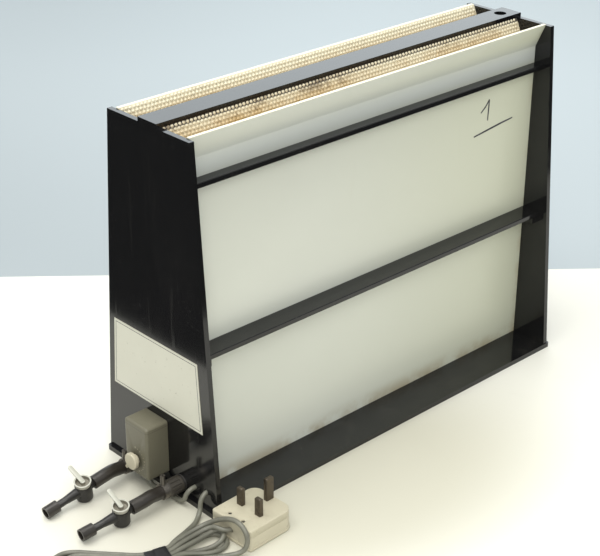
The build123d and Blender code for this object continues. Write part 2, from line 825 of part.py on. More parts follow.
def build():
    parts = {
        "base_plate": base_plate(),
        "left_end_panel": left_end_panel(),
        "right_end_panel": end_panel(inside),
        "jacket_cover_strip": jacket_cover_strip(),
        "rail_cleats": rail_cleats(),
        "thermostat_case": thermostat_case(),
        "thermostat_block": thermostat_block(),
        "terminal_block": terminal_block(),
        "dial_shaft": dial_shaft(),
        "dial_knob": dial_knob(),
        "heater_gland": heater_gland(),
        "gland_washer": gland_washer(),
        "gland_nut": gland_nut(),
        "heater_tube": heater_tube(),
        "heater_saddle": heater_saddle(),
        "probe_tube": probe_tube(),
        "lead_grommet": lead_grommet(),
        "label_plate": label_plate(),
    }
    taps = {
        "front": (-1, tap_plane(
            outside - front_tap_reach, front_tap_y, front_tap_height, front_tap_yaw, front_tap_pitch)),
        "rear": (1, tap_plane(
            outside - rear_tap_reach, rear_tap_y, rear_tap_height, rear_tap_yaw, rear_tap_pitch)),
    }
    for name, (side, plane) in taps.items():
        parts[f"{name}_outer_wall"] = outer_wall(side)
        parts[f"{name}_inner_wall"] = inner_wall(side)
        parts[f"{name}_top_rail"] = rail(side, top_rail_height, top_rail_depth)
        parts[f"{name}_mid_rail"] = rail(side, mid_rail_height, mid_rail_depth)
        parts[f"{name}_drain_spigot"] = drain_spigot(side)
        parts[f"{name}_hose_collar"] = hose_collar(side)
        parts[f"{name}_hose_clip"] = hose_clip(side)
        parts[f"{name}_drain_hose"] = drain_hose(f"{name} drain hose", side, plane)
        parts[f"{name}_tap_body"] = plane * tap_body()
        parts[f"{name}_tap_plug"] = plane * tap_plug()
        parts[f"{name}_tap_seals"] = plane * tap_seals()
        parts[f"{name}_tap_clip"] = plane * tap_clip()
        parts[f"{name}_outlet_sleeve"] = plane * outlet_sleeve()
    parts["heater_lead"] = flex("heater lead", lead_route)
    hank = flex_hank()
    parts["flex_run"] = flex("flex run", run_route) - hank
    parts["flex_loop"] = flex("flex loop", loop_route) - hank
    parts["flex_hank"] = hank
    parts["flex_tail"] = flex("flex tail", tail_route) - hank
    parts["hank_tie"] = hank_tie(hank)
    parts["plug_base"] = plug_frame(plug_base())
    parts["plug_cover"] = plug_frame(plug_cover())
    parts["plug_fuse"] = plug_frame(plug_fuse())
    parts["plug_screws"] = plug_frame(plug_screws())
    parts["line_pins"] = plug_frame(line_pins())
    parts["earth_pin"] = plug_frame(earth_pin())
    return parts


os.makedirs("parts", exist_ok=True)
for name, shape in build().items():
    shape.label = name
    export_step(shape, f"parts/{name}.step")
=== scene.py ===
import math
from functools import partial

import bmesh
import bpy
from mathutils import Matrix, Vector


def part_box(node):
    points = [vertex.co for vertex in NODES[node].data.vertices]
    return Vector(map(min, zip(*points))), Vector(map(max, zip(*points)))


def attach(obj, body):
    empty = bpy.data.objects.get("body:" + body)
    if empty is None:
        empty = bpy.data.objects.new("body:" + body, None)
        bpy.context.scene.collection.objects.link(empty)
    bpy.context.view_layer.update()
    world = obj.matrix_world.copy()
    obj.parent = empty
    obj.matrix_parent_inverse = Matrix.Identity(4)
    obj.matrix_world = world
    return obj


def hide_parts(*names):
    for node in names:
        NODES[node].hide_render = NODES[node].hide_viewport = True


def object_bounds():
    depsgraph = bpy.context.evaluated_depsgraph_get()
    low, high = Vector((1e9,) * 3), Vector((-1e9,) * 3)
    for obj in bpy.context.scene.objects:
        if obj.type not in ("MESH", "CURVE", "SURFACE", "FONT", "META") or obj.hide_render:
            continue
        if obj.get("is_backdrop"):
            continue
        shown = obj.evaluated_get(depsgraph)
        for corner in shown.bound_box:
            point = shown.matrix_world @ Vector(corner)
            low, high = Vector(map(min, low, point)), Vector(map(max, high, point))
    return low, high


bl_info = {
    "name": "Darkroom print processor",
    "version": (1, 0, 0),
    "blender": (4, 5, 0),
    "location": "View3D > Sidebar > Processor",
    "description": "Dresses the frame of a two-slot print processor",
    "category": "Object",
}

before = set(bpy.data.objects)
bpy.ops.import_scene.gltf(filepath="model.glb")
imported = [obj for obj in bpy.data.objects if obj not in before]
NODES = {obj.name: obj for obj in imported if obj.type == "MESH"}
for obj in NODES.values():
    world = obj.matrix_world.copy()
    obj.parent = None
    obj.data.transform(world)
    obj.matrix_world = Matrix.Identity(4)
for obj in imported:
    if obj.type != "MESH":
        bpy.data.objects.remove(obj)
MM = 0.001
MERGE = 0.000002
BODY = "tank"

# Faces that the looks are lined up with, read from the frame
PANEL_FACE_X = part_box("left_end_panel")[0].x
SHEET_FACE_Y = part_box("front_mid_rail")[1].y
CASE_LOW, CASE_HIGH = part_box("thermostat_case")
WALL_LOW, WALL_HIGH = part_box("front_outer_wall")
WALL_TOP = WALL_HIGH.z
JACKET_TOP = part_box("jacket_cover_strip")[0].z

# The walls' slot faces: how far they stand from the middle, and how far they spread above the bend
MOUTH_HEIGHT = 0.022
BEND = JACKET_TOP - MOUTH_HEIGHT
OUTER_FACE, OUTER_SPREAD = 0.0335, 0.0105
INNER_FACE, INNER_SPREAD = 0.0210, 0.0100
HALF_WALL = 0.0015


# ---------------------------------------------------------------- properties


def length(name, text, default, low, high):
    """A length property, in metres."""
    return bpy.props.FloatProperty(
        name=name, description=text, default=default, min=low, max=high, unit="LENGTH", precision=5
    )


def colour(name, text, default):
    """A colour property."""
    return bpy.props.FloatVectorProperty(
        name=name, description=text, default=default, size=3, min=0.0, max=1.0, subtype="COLOR"
    )


class ProcessorSizes(bpy.types.PropertyGroup):
    pip_pitch: length("Pip pitch", "Distance between the raised pips on the slot walls", 0.004, 0.002, 0.01)
    pip_width: length("Pip width", "Width of a pip at its foot", 0.0034, 0.001, 0.006)
    pip_height: length("Pip height", "How far a pip stands into the slot", 0.0009, 0.0003, 0.002)
    flex_width: length("Flex width", "Outside diameter of the mains flex", 0.0044, 0.002, 0.01)
    label_inset: length(
        "Label border inset", "Distance of the printed border from the plate's edge", 0.0025, 0.001, 0.01
    )
    label_line: length("Label border width", "Width of the printed border line", 0.0007, 0.0002, 0.003)
    scale_radius: length("Dial scale radius", "Radius of the marks round the dial", 0.0112, 0.009, 0.02)
    pen_width: length("Pen width", "Width of the felt pen's line", 0.0019, 0.0005, 0.005)


class ProcessorColours(bpy.types.PropertyGroup):
    acrylic: colour("Black acrylic", "End panels, base, rails and cover strip", (0.006, 0.006, 0.0065))
    sheet: colour("Milky sheet", "Outer and inner walls of the slots", (0.515, 0.53, 0.475))
    pip: colour("Pips", "Raised texture in the slots", (0.70, 0.66, 0.51))
    amber: colour("Yellowed plastic", "Where the slots have yellowed", (0.47, 0.315, 0.125))
    stain: colour("Chemical stain", "Brown stain in the slots", (0.085, 0.048, 0.022))
    olive: colour("Case", "Moulded thermostat case", (0.130, 0.122, 0.086))
    cream: colour("Cream plastic", "Plug and knob", (0.475, 0.44, 0.33))
    plate: colour("Label plate", "Plate on the left end panel", (0.545, 0.54, 0.46))
    milky: colour("Milky plastic", "Dishes and levers of the taps", (0.36, 0.35, 0.30))
    hose: colour("Hose", "Drain hoses and sleeves", (0.020, 0.017, 0.014))
    flex: colour("Flex", "Mains flex", (0.145, 0.143, 0.114))
    pin: colour("Pins", "Tarnished pins of the plug", (0.125, 0.105, 0.080))
    ground: colour("Ground", "Pale ground beyond the table", (0.47, 0.53, 0.56))
    table: colour("Table", "Pale table top", (0.82, 0.81, 0.745))


def sizes():
    return bpy.context.scene.processor_sizes


def colours():
    return bpy.context.scene.processor_colours


# ------------------------------------------------------------------- shading


def arithmetic(operation, swapped=False):
    """A method of Wire that adds this Math node."""

    def method(self, other=0.0):
        first, second = (other, self) if swapped else (self, other)
        return self.finish.node("ShaderNodeMath", {"operation": operation}, {0: first, 1: second})

    return method


class Wire:
    """A shader socket that takes part in arithmetic."""

    def __init__(self, finish, socket):
        self.finish = finish
        self.socket = socket

    __add__, __radd__ = arithmetic("ADD"), arithmetic("ADD", swapped=True)
    __sub__, __rsub__ = arithmetic("SUBTRACT"), arithmetic("SUBTRACT", swapped=True)
    __mul__, __rmul__ = arithmetic("MULTIPLY"), arithmetic("MULTIPLY", swapped=True)
    __truediv__, __rtruediv__ = arithmetic("DIVIDE"), arithmetic("DIVIDE", swapped=True)
    __lt__, __gt__ = arithmetic("LESS_THAN"), arithmetic("GREATER_THAN")
    least, most = arithmetic("MINIMUM"), arithmetic("MAXIMUM")
    size, power = arithmetic("ABSOLUTE"), arithmetic("POWER")


class Finish:
    """Builds one procedural material. Every node comes from node()."""

    def __init__(self, name):
        self.material = bpy.data.materials.new(name)
        self.material.use_nodes = True
        self.tree = self.material.node_tree
        self.tree.nodes.clear()
        self._place = None

    def node(self, kind, settings=None, inputs=None, output=0):
        """A node with its settings, then the values or links of its sockets."""
        node = self.tree.nodes.new(kind)
        for name, value in (settings or {}).items():
            setattr(node, name, value)
        for key, value in (inputs or {}).items():
            socket = node.inputs[key]
            if isinstance(value, Wire):
                self.tree.links.new(value.socket, socket)
            elif socket.type == "RGBA" and len(value) == 3:
                socket.default_value = (*value, 1.0)
            else:
                socket.default_value = value
        return Wire(self, node.outputs[output]) if len(node.outputs) else None

    def place(self):
        """Where a point lies in the frame, in metres."""
        if self._place is None:
            self._place = self.node("ShaderNodeTexCoord", output="Object")
        return self._place

    def axis(self, name):
        return self.node("ShaderNodeSeparateXYZ", None, {0: self.place()}, name)

    def noise(self, scale, detail=3.0, roughness=0.55, stretch=None):
        where = self.place()
        if stretch:
            where = self.node("ShaderNodeMapping", None, {"Vector": where, "Scale": stretch})
        inputs = {"Vector": where, "Scale": scale, "Detail": detail, "Roughness": roughness}
        return self.node("ShaderNodeTexNoise", None, inputs, "Fac")

    def span(self, value, low, high, bottom=0.0, top=1.0):
        """Maps low..high smoothly to bottom..top."""
        settings = {"interpolation_type": "SMOOTHSTEP"}
        return self.node("ShaderNodeMapRange", settings, {0: value, 1: low, 2: high, 3: bottom, 4: top})

    def mix(self, first, second, share):
        """Two colours mixed. A Mix node's colour sockets are 6 and 7, and its colour output is 2."""
        return self.node("ShaderNodeMix", {"data_type": "RGBA"}, {0: share, 6: first, 7: second}, 2)

    def bump(self, height, strength, distance):
        inputs = {"Height": height, "Strength": strength, "Distance": distance}
        return self.node("ShaderNodeBump", None, inputs)

    def surface(self, **sockets):
        """Ends the material in a Principled surface with these sockets."""
        inputs = {name.replace("_", " "): value for name, value in sockets.items()}
        shader = self.node("ShaderNodeBsdfPrincipled", None, inputs)
        self.node("ShaderNodeOutputMaterial", None, {"Surface": shader})
        return self.material


def shade(base, *factors):
    """A plain number colour, lightened or darkened by one factor or by one for each channel."""
    each = factors if len(factors) == 3 else factors * 3
    return tuple(min(1.0, c * factor) for c, factor in zip(base, each))


def dust(f, amount, scale=900.0):
    """Sparse pale specks."""
    specks = f.noise(scale, 2.0, 0.5)
    patches = f.noise(18.0, 3.0, 0.6)
    return f.span(specks, 0.66, 0.74, 0.0, amount) * f.span(patches, 0.45, 0.70)


def acrylic_finish(name):
    """Glossy black acrylic with fine scratches, dust, and a film of grime near its foot."""
    f = Finish(name)
    base = tuple(colours().acrylic)
    smear = f.noise(9.0, 4.0, 0.65, (1.0, 1.0, 0.5))
    scratches = f.noise(260.0, 2.0, 0.7, (1.0, 1.0, 0.03))
    fine = f.span(scratches, 0.62, 0.72)
    haze = f.span(smear, 0.48, 0.78)
    low = f.span(f.axis("Z"), 0.0, 0.10, 1.0, 0.0)
    grime = f.noise(60.0, 5.0, 0.7)
    film = f.span(grime, 0.46, 0.80) * (low * 0.22 + 0.03)
    body = f.mix(base, (0.055, 0.052, 0.046), (film + haze * 0.03 + fine * 0.05).least(1.0))
    body = f.mix(body, (0.35, 0.34, 0.31), dust(f, 0.20))
    rough = 0.085 + haze * 0.10 + fine * 0.10 + film * 0.30
    return f.surface(
        Base_Color=body, Roughness=rough, IOR=1.49,
        Normal=f.bump(f.noise(3.2, 1.0, 0.3), 0.02, 0.004),
    )


def yellowed(f, dirt):
    """The slots' colour: pale at the lip, amber lower down, browned in patches."""
    pale, amber, brown = tuple(colours().pip), tuple(colours().amber), tuple(colours().stain)
    x, z = f.axis("X"), f.axis("Z")
    patch = f.noise(22.0, 5.0, 0.68)
    grain = f.noise(230.0, 3.0, 0.6)
    low = f.span(z, 0.3285, 0.3405, 1.0, 0.0)
    left = f.span(x, -0.20, 0.10, 1.0, 0.35)
    strength = (low * 0.72 + dirt * 0.30) * f.span(patch, 0.30, 0.62, 0.35, 1.0)
    wash = strength * (1.0 - dirt * 0.45 + left * (dirt * 0.45))
    body = f.mix(pale, amber, (wash + (grain - 0.5) * 0.4).most(0.0).least(1.0))
    spots = f.span(patch * 0.55 + grain * 0.45, 0.52, 0.62) * (0.25 + 0.75 * f.span(z, 0.330, 0.337))
    return f.mix(body, brown, (spots * left * (dirt * 0.85)).least(1.0))


def sheet_finish(name):
    """Milky acrylic with stained feet and ends, yellowed faces in the slots, and painted light and shade."""
    f = Finish(name)
    base = tuple(colours().sheet)
    x, y, z = f.axis("X"), f.axis("Y"), f.axis("Z")
    cloud = f.noise(7.0, 3.0, 0.5, (1.0, 1.0, 1.6))
    patch = f.noise(30.0, 4.0, 0.62)
    foot = f.span(z, 0.004, 0.022, 1.0, 0.0)
    ends = f.span(x.size(), 0.212, 0.2195, 0.0, 1.0)
    runs = f.noise(55.0, 4.0, 0.62, (1.0, 1.0, 0.10))
    stain = foot * f.span(patch, 0.35, 0.62) * 0.65 + ends * f.span(patch, 0.40, 0.66) * 0.4
    stain = stain + f.span(runs, 0.62, 0.80, 0.0, 0.06)
    # Lighter low down: painted light bounced from the table, mixed with random clouding
    upper = f.span(z, 0.08, 0.30)
    body = f.mix(shade(base, 1.20), shade(base, 0.95), (cloud * 0.4 + upper * 0.6).least(1.0))
    # Yellower to the right, and below the flare a painted shade that is also bluish
    body = f.mix(body, shade(base, 0.98, 0.98, 0.87), f.span(x, -0.10, 0.22))
    # Painted shade below the flare, between the rail and the bend
    shaded_below_lip = f.span(z, 0.296, 0.310) * (1.0 - f.span(z, 0.311, 0.333))
    body = f.mix(body, shade(base, 0.86, 0.88, 0.94), shaded_below_lip)
    # A painted highlight on the flare towards its lip, fading to the right
    body = f.mix(body, shade(base, 1.08), f.span(z, 0.322, WALL_TOP) * f.span(x, -0.2, 0.22, 1.0, 0.2))
    body = f.mix(body, (0.30, 0.24, 0.13), stain.least(1.0))
    # The slots' faces lie between the middles of the inner and outer walls
    from_middle = y.size()
    lift = ((z - BEND) / (WALL_TOP - BEND)).most(0.0).least(1.0)
    inside_outer = from_middle < lift * OUTER_SPREAD + (OUTER_FACE + HALF_WALL)
    outside_inner = from_middle > (INNER_FACE - HALF_WALL) - lift * INNER_SPREAD
    slots = f.mix(yellowed(f, 0.25), yellowed(f, 1.0), (y < 0.0) * 1.0)
    # A painted shadow on the slot faces just under the cover strip
    strip_shadow = f.span(z, 0.3375, 0.3390) * (from_middle < 0.026)
    slots = f.mix(slots, (0.030, 0.024, 0.026), strip_shadow * 0.92)
    body = f.mix(body, slots, inside_outer * outside_inner)
    body = f.mix(body, (0.74, 0.71, 0.56), (z > WALL_TOP - 0.0003) * 1.0)
    scuff = f.span(f.noise(420.0, 2.0, 0.7, (1.0, 1.0, 0.05)), 0.62, 0.72)
    return f.surface(
        Base_Color=body, Roughness=0.30 + scuff * 0.12 + stain * 0.2, IOR=1.49, Specular_IOR_Level=0.45,
        Normal=f.bump(cloud, 0.03, 0.006),
    )


def pip_finish(name, dirt):
    """The slots' colour on the pips, as dirty as their slot."""
    f = Finish(name)
    grain = f.noise(190.0, 3.0, 0.6)
    return f.surface(Base_Color=yellowed(f, dirt), Roughness=0.34 + grain * 0.2, IOR=1.49)


def moulded_finish(name, base, grain=520.0, depth=0.25, rough=0.45, soil=0.12, soil_tint=(0.10, 0.085, 0.06)):
    """A moulded plastic with a fine texture, soft mottling and handling dirt."""
    f = Finish(name)
    fine = f.noise(grain, 3.0, 0.6)
    mottle = f.noise(45.0, 4.0, 0.6)
    dirt = f.span(f.noise(130.0, 5.0, 0.7), 0.52, 0.78) * f.span(mottle, 0.40, 0.66)
    body = f.mix(shade(base, 0.93), shade(base, 1.07), mottle)
    body = f.mix(body, soil_tint, dirt * soil)
    return f.surface(
        Base_Color=body, Roughness=rough + (fine - 0.5) * 0.16 + dirt * 0.12, IOR=1.48,
        Normal=f.bump(fine, depth, 0.0002),
    )


# Where each tap's stem meets its waterway, in metres, and which way it points
TAP_STEMS = {
    "front": ((-0.2910, -0.0269, 0.0123), (-0.1067, -0.1329, 0.9854)),
    "rear": ((-0.2932, 0.02475, 0.0125), (-0.1583, -0.1392, 0.9775)),
}


def tap_plug_finish(name, side):
    """Milky plastic of a tap's plug, with a pale lever and rim and painted shade inside its dish."""
    f = Finish(name)
    base = tuple(colours().milky)
    foot, stem = TAP_STEMS[side]
    x, y, z = (f.axis(axis) - start for axis, start in zip("XYZ", foot))
    height = x * stem[0] + y * stem[1] + z * stem[2]
    from_stem = (x * x + y * y + z * z - height * height).most(0.0).power(0.5)
    pale = f.span(height, 0.0090, 0.0097)
    # Inside the dish, under the rim and near the stem: painted shade, mottled
    dish = f.span(height, 0.0058, 0.0062) * (1.0 - pale) * (1.0 - f.span(from_stem, 0.0064, 0.0068))
    mottle = f.noise(160.0, 4.0, 0.6)
    body = f.mix(shade(base, 0.93), shade(base, 1.07), mottle)
    body = f.mix(body, (0.47, 0.47, 0.41), pale)
    body = f.mix(body, (0.15, 0.135, 0.10), dish * (mottle * 0.4 + 0.6))
    return f.surface(Base_Color=body, Roughness=0.34 + mottle * 0.1, IOR=1.48)


def hose_finish(name):
    """Dark hose with faint lengthwise scuffs and dust."""
    f = Finish(name)
    base = tuple(colours().hose)
    scuff = f.span(f.noise(170.0, 4.0, 0.7, (0.25, 1.0, 1.0)), 0.50, 0.74)
    mottle = f.noise(60.0, 4.0, 0.6)
    body = f.mix(base, shade(base, 2.3), (scuff * 0.5 + mottle * 0.25).least(1.0))
    body = f.mix(body, (0.22, 0.20, 0.17), dust(f, 0.35, 700.0))
    return f.surface(
        Base_Color=body, Roughness=0.30 + scuff * 0.2, IOR=1.5, Normal=f.bump(f.noise(700.0), 0.2, 0.0002)
    )


def metal_finish(name, base, rough, tarnish, tarnish_tint):
    """Drawn metal with spots of tarnish."""
    f = Finish(name)
    streak = f.noise(420.0, 3.0, 0.6, (1.0, 1.0, 0.12))
    spots = f.span(f.noise(150.0, 5.0, 0.7), 0.50, 0.72)
    body = f.mix(base, tarnish_tint, spots * tarnish)
    return f.surface(
        Base_Color=body, Metallic=1.0 - spots * (tarnish * 0.4),
        Roughness=rough + streak * 0.12 + spots * 0.15, Normal=f.bump(streak, 0.08, 0.0002),
    )


def flex_finish(name):
    """Grey flex that has yellowed, with grubby lengths."""
    f = Finish(name)
    base = tuple(colours().flex)
    mottle = f.noise(34.0, 4.0, 0.6)
    grime = f.span(f.noise(120.0, 5.0, 0.7), 0.50, 0.76)
    body = f.mix(shade(base, 0.80), shade(base, 1.25), f.span(mottle, 0.32, 0.68))
    body = f.mix(body, (0.10, 0.095, 0.08), grime * 0.35)
    return f.surface(
        Base_Color=body, Roughness=0.40 + grime * 0.2, IOR=1.5, Normal=f.bump(f.noise(900.0), 0.12, 0.0002)
    )


def label_corners():
    """The plate's corners in Y and Z, in order, from its mesh."""
    low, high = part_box("label_plate")
    points = [v.co for v in NODES["label_plate"].data.vertices]
    foot = [p.y for p in points if p.z < low.z + 0.0001]
    top = [p.y for p in points if p.z > high.z - 0.0001]
    return [(min(foot), low.z), (max(foot), low.z), (max(top), high.z), (min(top), high.z)]


def label_finish(name):
    """A cream plate with a thin dark border that runs parallel to its edges."""
    f = Finish(name)
    base = tuple(colours().plate)
    y, z = f.axis("Y"), f.axis("Z")
    corners = label_corners()
    inset, line = sizes().label_inset, sizes().label_line
    gap = None
    for (y0, z0), (y1, z1) in zip(corners, corners[1:] + corners[:1]):
        run = math.hypot(y1 - y0, z1 - z0)
        ny, nz = -(z1 - z0) / run, (y1 - y0) / run
        reach = (y - y0) * ny + (z - z0) * nz
        gap = reach if gap is None else gap.least(reach)
    border = ((gap - inset).size() < line / 2) * 1.0
    corner = f.span(gap, 0.0, 0.0012, 0.25, 0.0)
    mottle = f.noise(26.0, 4.0, 0.6)
    spots = f.span(f.noise(330.0, 3.0, 0.6), 0.66, 0.74)
    body = f.mix(shade(base, 1.05), shade(base, 0.94), mottle)
    body = f.mix(body, (0.16, 0.14, 0.10), (spots * 0.4 + corner).least(1.0))
    body = f.mix(body, (0.03, 0.04, 0.04), border * 0.9)
    return f.surface(Base_Color=body, Roughness=0.32 + mottle * 0.12, IOR=1.48)


def pen_finish(name):
    """Felt pen that has worn thin."""
    f = Finish(name)
    thin = f.span(f.noise(420.0, 3.0, 0.7), 0.42, 0.60)
    body = f.mix((0.012, 0.012, 0.018), (0.07, 0.07, 0.085), thin)
    return f.surface(Base_Color=body, Roughness=0.38 + thin * 0.2, IOR=1.45)


def tape_finish(name):
    """Black tape, worn grey in places."""
    f = Finish(name)
    weave = f.noise(600.0, 2.0, 0.6)
    wear = f.span(f.noise(160.0, 4.0, 0.7), 0.55, 0.75)
    body = f.mix((0.010, 0.010, 0.012), (0.045, 0.044, 0.048), wear * 0.7)
    return f.surface(Base_Color=body, Roughness=0.34 + wear * 0.2, IOR=1.5, Normal=f.bump(weave, 0.2, 0.0002))


def table_finish(name):
    """A pale table top, with a paler blue-grey ground beyond its straight far edge."""
    f = Finish(name)
    base, beyond = tuple(colours().table), tuple(colours().ground)
    x, y = f.axis("X"), f.axis("Y")
    cloud = f.noise(2.4, 2.0, 0.5)
    marks = f.span(f.noise(30.0, 4.0, 0.6), 0.60, 0.82)
    body = f.mix(base, shade(base, 0.96), cloud)
    body = f.mix(body, shade(base, 0.86), marks * 0.25)
    # Greyer and yellower in front of the machine, where it shades the table
    along = x + 0.13
    slant = y + 0.09 + along * 0.20
    near = f.span(((along * along) / 0.058 + (slant * slant) / 0.028).power(0.5), 0.50, 1.30, 1.0, 0.0)
    body = f.mix(body, shade(base, 0.70, 0.69, 0.63), near)
    # How far a point lies beyond the far edge, and the ground's tone, with painted shade that darkens it near
    # the edge and to the left
    depth = x * 0.6535 + y * 0.7569 - 0.2704
    share = f.span(depth, 0.0, 0.8) * 0.5 + f.span(x * 0.757 - y * 0.6535, -0.50, 0.20) * 0.5
    body = f.mix(body, f.mix(shade(beyond, 0.72), shade(beyond, 1.06), share), (depth > 0.0) * 1.0)
    return f.surface(Base_Color=body, Roughness=0.42 + cloud * 0.1, IOR=1.45)


MADE = {}


def finish(name):
    """The material of this name, made once."""
    if name not in MADE:
        c = colours()
        makers = {
            "black_acrylic": acrylic_finish,
            "clear_sheet": sheet_finish,
            "front_pips": partial(pip_finish, dirt=1.0),
            "rear_pips": partial(pip_finish, dirt=0.25),
            "olive_plastic": partial(moulded_finish, base=tuple(c.olive), grain=380.0, depth=0.5, rough=0.42),
            "dark_plastic": partial(moulded_finish, base=(0.030, 0.028, 0.026), rough=0.38),
            "brown_plastic": partial(moulded_finish, base=(0.046, 0.041, 0.033), rough=0.40, soil=0.5),
            "white_plastic": partial(moulded_finish, base=tuple(c.milky), rough=0.34, soil=0.35),
            "cream_plastic": partial(
                moulded_finish, base=tuple(c.cream), rough=0.38, soil=0.55, soil_tint=(0.20, 0.155, 0.10)
            ),
            "black_tap": partial(
                moulded_finish, base=(0.012, 0.011, 0.010), grain=300.0, depth=0.08, rough=0.36, soil=0.3
            ),
            "black_rubber": partial(moulded_finish, base=(0.022, 0.022, 0.022), rough=0.55),
            "front_tap_plastic": partial(tap_plug_finish, side="front"),
            "rear_tap_plastic": partial(tap_plug_finish, side="rear"),
            "black_hose": hose_finish,
            "pale_flex": flex_finish,
            "black_tape": tape_finish,
            "label_plate": label_finish,
            "pen_mark": pen_finish,
            "table_top": table_finish,
            "nickel": partial(
                metal_finish, base=(0.20, 0.185, 0.165), rough=0.40, tarnish=0.6,
                tarnish_tint=(0.07, 0.055, 0.04),
            ),
            "tarnished_brass": partial(
                metal_finish, base=tuple(c.pin), rough=0.42, tarnish=0.7,
                tarnish_tint=(0.035, 0.026, 0.020),
            ),
        }
        MADE[name] = makers[name](name)
    return MADE[name]


# -------------------------------------------------------------------- meshes


def dress(names, material):
    """Gives CAD nodes a finish."""
    for name in names:
        slots = NODES[name].material_slots
        if not slots:
            raise RuntimeError(f"{name} has no material slot")
        for slot in slots:
            slot.material = finish(material)


def link(name, mesh, material, smooth=True):
    """A new object of this mesh, at the origin."""
    obj = bpy.data.objects.new(name, mesh)
    bpy.context.scene.collection.objects.link(obj)
    mesh.materials.clear()
    mesh.materials.append(finish(material))
    for face in mesh.polygons:
        face.use_smooth = smooth
    return obj


def mesh_from(name, build):
    """A mesh whose bmesh is filled by build."""
    mesh = bpy.data.meshes.new(name)
    shape = bmesh.new()
    build(shape)
    bmesh.ops.recalc_face_normals(shape, faces=shape.faces)
    shape.to_mesh(mesh)
    shape.free()
    return mesh


def strip(shape, rings, capped=True):
    """Faces between rings of points, with both ends closed if it is capped."""
    for one, two in zip(rings, rings[1:]):
        for i in range(len(one)):
            j = (i + 1) % len(one)
            shape.faces.new((one[i], one[j], two[j], two[i]))
    if capped:
        shape.faces.new(rings[0][::-1])
        shape.faces.new(rings[-1])


def settle(obj, body, replaced=()):
    """Puts a piece on its body and hides the nodes that it stands for."""
    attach(obj, body)
    if replaced:
        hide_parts(*replaced)
    return obj


def baked(obj):
    """The evaluated object as a plain mesh, with its modifiers gone."""
    graph = bpy.context.evaluated_depsgraph_get()
    mesh = bpy.data.meshes.new_from_object(obj.evaluated_get(graph), depsgraph=graph)
    obj.modifiers.clear()
    old = obj.data
    obj.data = mesh
    bpy.data.meshes.remove(old)
    return obj


def soften(node, material, bevel, body=BODY):
    """A merged copy of a rigid node with its sharp edges eased, which stands for the node."""
    mesh = NODES[node].data.copy()
    shape = bmesh.new()
    shape.from_mesh(mesh)
    bmesh.ops.remove_doubles(shape, verts=shape.verts, dist=MERGE)
    shape.to_mesh(mesh)
    shape.free()
    obj = link(f"eased_{node}", mesh, material)
    cut = obj.modifiers.new("ease", "BEVEL")
    cut.width = bevel
    cut.segments = 2
    cut.limit_method = "ANGLE"
    cut.angle_limit = math.radians(40)
    cut.harden_normals = True
    baked(obj)
    return settle(obj, body, [node])


# --------------------------------------------------------------- the pip tree


